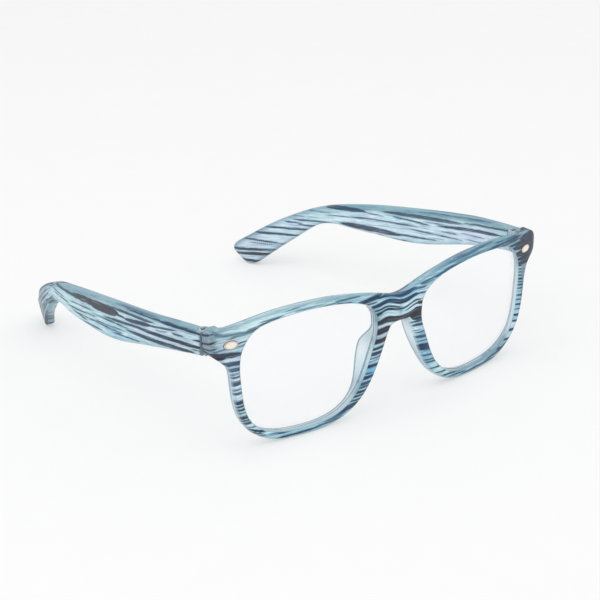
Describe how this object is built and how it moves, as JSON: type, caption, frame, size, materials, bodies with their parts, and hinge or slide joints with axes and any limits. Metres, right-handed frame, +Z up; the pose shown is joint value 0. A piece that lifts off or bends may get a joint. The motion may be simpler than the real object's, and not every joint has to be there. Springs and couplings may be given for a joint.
{
  "type": "trapezoid eyeglasses",
  "caption": "Full-rim spectacles with trapezoid lenses, a moulded striped front with nose pads, clear lenses and temples that fold on screwed knuckle hinges.",
  "frame": {"origin": "middle of the underside of the whole part's box: the surface on which the rims and the temple tips stand", "axes": "+X to the wearer's left, +Y back along the temples away from the front's face, +Z up from the surface it stands on"},
  "size_m": [0.139, 0.1524, 0.045],
  "materials": {
    "frame_plastic": "satin, translucent pale blue with printed stripes in navy, teal and mid blue",
    "lens": "clear, polished",
    "plaque_metal": "polished pale champagne",
    "screw_metal": "dark plated"
  },
  "bodies": {
    "front": {"front_frame": "frame_plastic", "right_lens": "lens", "left_lens": "lens", "right_plaque": "plaque_metal", "left_plaque": "plaque_metal", "right_hinge_screw": "screw_metal", "left_hinge_screw": "screw_metal"},
    "right_temple_arm": {"right_temple": "frame_plastic"},
    "left_temple_arm": {"left_temple": "frame_plastic"}
  },
  "joints": [
    {"name": "left_temple_fold", "type": "hinge", "parent": "front", "child": "left_temple_arm", "pos_m": [0.06474, -0.06077, 0.03684], "axis": [0, -0.0668, 0.9978], "range_deg": [0, 85]},
    {"name": "right_temple_fold", "type": "hinge", "parent": "front", "child": "right_temple_arm", "pos_m": [-0.06474, -0.06077, 0.03684], "axis": [0, 0.0668, -0.9978], "range_deg": [0, 77]}
  ]
}
